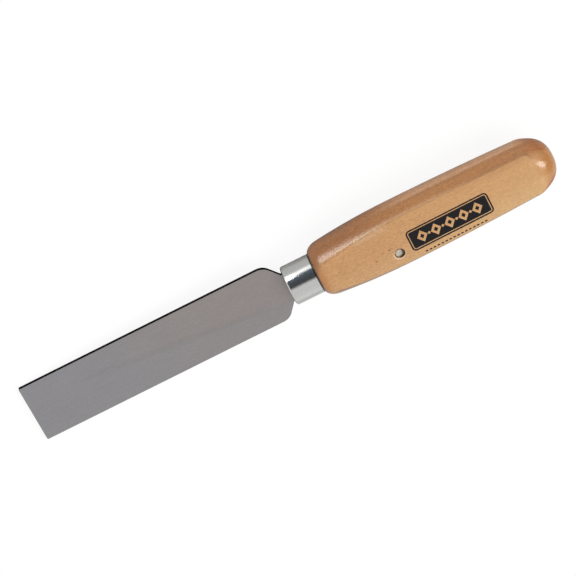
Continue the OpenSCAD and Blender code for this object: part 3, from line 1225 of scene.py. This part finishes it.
    def _hole(self, g: Graph) -> Term:
        """The hole for the cross pin."""
        rod = self._rod(g, self.hole_diameter / 2, 2 * self.belly_diameter)
        return self._moved(g, rod, (*PIN_CENTRE, 0.0))

    def _mouth(self, g: Graph, side: int) -> Term:
        """The torn mouth of that hole in the flat on one side, 1 for up and -1 for down."""
        rod = self._rod(g, self.mouth_diameter / 2, 2 * self.mouth_depth, slices=4)
        x, y, z = g.split(g.term("GeometryNodeInputPosition"))
        torn = g.noise(g.join(x + self.mouth_seed * side, y, z), (0.9, 0.9, 0.5), 3.0, 0.6) - 0.5
        wide = (1 + self.mouth_tear * torn) * (1 + self.mouth_flare * (z * side))
        torn_rod = g.term("GeometryNodeSetPosition",
                          {"Geometry": rod, "Position": g.join(x * wide, y * wide, z)})
        height = self.flats_front / 2 - self.flat_fall() * (PIN_CENTRE[0] - self.front)
        across, aside = (pin + shift for pin, shift in zip(PIN_CENTRE, self.mouth_shift))
        return self._moved(g, torn_rod, (across, aside, side * height))


class Lit(Enum):
    """The surfaces that a lamp lights."""

    DULL = "diffuse"
    BRIGHT = "glossy"


class Ray(Enum):
    """The kinds of ray that see the white background instead of the plain light."""

    CAMERA = "Is Camera Ray"
    GLOSSY = "Is Glossy Ray"
    TRANSMISSION = "Is Transmission Ray"


def background_share(graph: Graph, seen_by: dict[Ray, float]) -> Term:
    """How much of the white background a ray sees, with the share that each kind of ray gets."""
    paths = graph.node("ShaderNodeLightPath")
    shares = [Term(graph, paths.outputs[ray.value]) * share for ray, share in seen_by.items()]
    return sum(shares[1:], start=shares[0]).share()


@dataclass(frozen=True)
class Softbox:
    """One box-shaped or round lamp, aimed at the tool."""

    name: str
    lit: Lit
    towards: Point3
    distance: float
    size: Point2
    watts: float
    round: bool = False
    aim: Point3 = (0.0, 0.0, 0.008)

    def build(self) -> None:
        """Hangs the lamp."""
        data = bpy.data.lights.new(self.name, "AREA")
        data.shape = "ELLIPSE" if self.round else "RECTANGLE"
        data.size, data.size_y = self.size
        data.energy = self.watts
        back = Vector(self.towards).normalized()
        side = Vector((1.0, 0.0, 0.0))
        side = (side - back * side.dot(back)).normalized()
        turned = Matrix((side, back.cross(side), back)).transposed().to_4x4()
        lamp = add_object(self.name, data)
        lamp.matrix_world = Matrix.Translation(Vector(self.aim) + back * self.distance) @ turned
        lamp.visible_diffuse = self.lit is Lit.DULL
        lamp.visible_glossy = self.lit is Lit.BRIGHT


@dataclass
class Studio:
    """The pale floor, the white surroundings with a dark card over the tool, the lamps and the camera."""

    floor_size: float = 6.0
    floor_colour: Colour = (0.78, 0.78, 0.78)
    floor_glow: float = 1.06
    floor_seen_by: dict[Ray, float] = field(
        default_factory=lambda: {Ray.CAMERA: 0.85, Ray.GLOSSY: 0.01})
    room_seen_by: dict[Ray, float] = field(default_factory=lambda: dict.fromkeys(Ray, 1.0))
    ambient: float = 0.65
    overhead: Colour = (0.9, 0.9, 0.9)
    far_end: Colour = (0.45, 0.45, 0.45)
    card_level: Colour = (0.085, 0.088, 0.102)
    card_far_level: Colour = (0.105, 0.140, 0.180)
    card_near_edge: Point2 = (-5.0, 11.0)
    card_far_edge: Point2 = (67.0, 55.0)
    card_shading: Point2 = (20.0, 52.0)
    card_reach: float = 26.0
    lamps: tuple[Softbox, ...] = (
        Softbox("key_softbox", Lit.DULL, (0.570, -0.285, 0.785), 1.1, (0.56, 0.56), 5.1),
        Softbox("key_gloss", Lit.BRIGHT, (0.618, -0.310, 0.722), 1.16, (0.44, 0.26), 1.90, round=True),
        Softbox("back_strip", Lit.BRIGHT, (-0.346, 0.867, 0.359), 0.5, (0.27, 0.20), 0.85),
        Softbox("side_strip", Lit.BRIGHT, (0.040, 0.904, 0.276), 0.5, (0.09, 0.13), 0.028),
    )

    def build(self, lie: Lie) -> None:
        """Sets the floor, the world, the lamps, the camera and the way the picture is shown."""
        self._floor()
        self._world()
        for lamp in self.lamps:
            lamp.build()
        Camera().build(lie)
        bpy.context.scene.view_settings.view_transform = "Standard"

    def _floor(self) -> None:
        """A pale floor that keeps the tool's shadow and looks white to the camera."""
        shape = bmesh.new()
        bmesh.ops.create_grid(shape, x_segments=1, y_segments=1, size=self.floor_size / 2)
        mesh = bpy.data.meshes.new("floor")
        shape.to_mesh(mesh)
        shape.free()
        material, g = new_material("pale_floor")
        dull = g.term("ShaderNodeBsdfDiffuse", {"Color": (*self.floor_colour, 1.0)})
        glow = g.term("ShaderNodeEmission", {"Color": (*WHITE, 1.0), "Strength": self.floor_glow})
        g.show(g.mix(background_share(g, self.floor_seen_by), dull, glow))
        mesh.materials.append(material)
        floor = add_object("floor", mesh)

    def _world(self) -> None:
        """Plain light for dull surfaces, and for gloss a white room with a dark card over the tool."""
        world = bpy.data.worlds.new("studio")
        bpy.context.scene.world = world
        world.use_nodes = True
        g = Graph(world.node_tree)
        x, y, z = g.split(g.term("ShaderNodeTexCoord", out="Generated"))
        swing = y.angle(z) * (180 / math.pi)
        reach = math.sin(math.radians(self.card_reach))
        card = swing.rise(*self.card_near_edge) * swing.rise(*self.card_far_edge)
        card = card * abs(x).rise(reach + 0.1, reach - 0.1)
        level = g.blend(swing.rise(*self.card_shading), self.card_level, self.card_far_level)
        room = g.blend(z.rise(0.2, 0.9), WHITE, self.overhead)
        room = g.blend(x.rise(0.35, 0.75), room, self.far_end)
        plain = g.term("ShaderNodeBackground", {"Color": (*WHITE, 1.0), "Strength": self.ambient})
        seen = g.term("ShaderNodeBackground", {"Color": g.blend(card, room, level)})
        g.show(g.mix(background_share(g, self.room_seen_by), plain, seen), "World")


@dataclass(frozen=True)
class Camera:
    """The photograph's viewpoint, given in the tool's own frame, with a long lens."""

    azimuth: float = 171.39
    elevation: float = 62.29
    roll: float = 161.14
    distance: float = 1413.6
    aim: Point3 = (-0.40, -0.51, 0.0)
    lens: float = 250.0
    sensor: float = 36.0

    def build(self, lie: Lie) -> None:
        """Sets the camera up over a tool that lies as lie says."""
        turned = Matrix.Rotation(-lie.lean, 4, "Y")
        for degrees, axis in ((self.azimuth, "Z"), (90 - self.elevation, "X"), (self.roll, "Z")):
            turned = turned @ Matrix.Rotation(math.radians(degrees), 4, axis)
        data = bpy.data.cameras.new("camera")
        data.lens = self.lens
        data.sensor_width = self.sensor
        data.clip_start, data.clip_end = 0.05, 20.0
        camera = add_object("camera", data)
        aimed = Matrix.Translation(lie.matrix() @ Vector(self.aim)) @ turned
        camera.matrix_world = aimed @ Matrix.Translation((0.0, 0.0, self.distance * MM))
        bpy.context.scene.camera = camera


def main() -> None:
    """Builds the knife and its studio."""
    logging.basicConfig(level=logging.INFO, format="%(name)s: %(message)s")
    blade = Blade()
    lie = Lie.of_blade(blade.whole_length(), blade.length, blade.thickness)
    LOG.info("the tool leans by %.3f degrees", math.degrees(lie.lean))
    seat_piece(blade.build(lie), "blade")
    seat_piece(Ferrule().build(lie), "ferrule")
    seat_piece(Handle().build(lie), "handle")
    seat_piece(CrossPin().build(lie), "pin")
    Studio().build(lie)


if __name__ == "__main__":
    main()
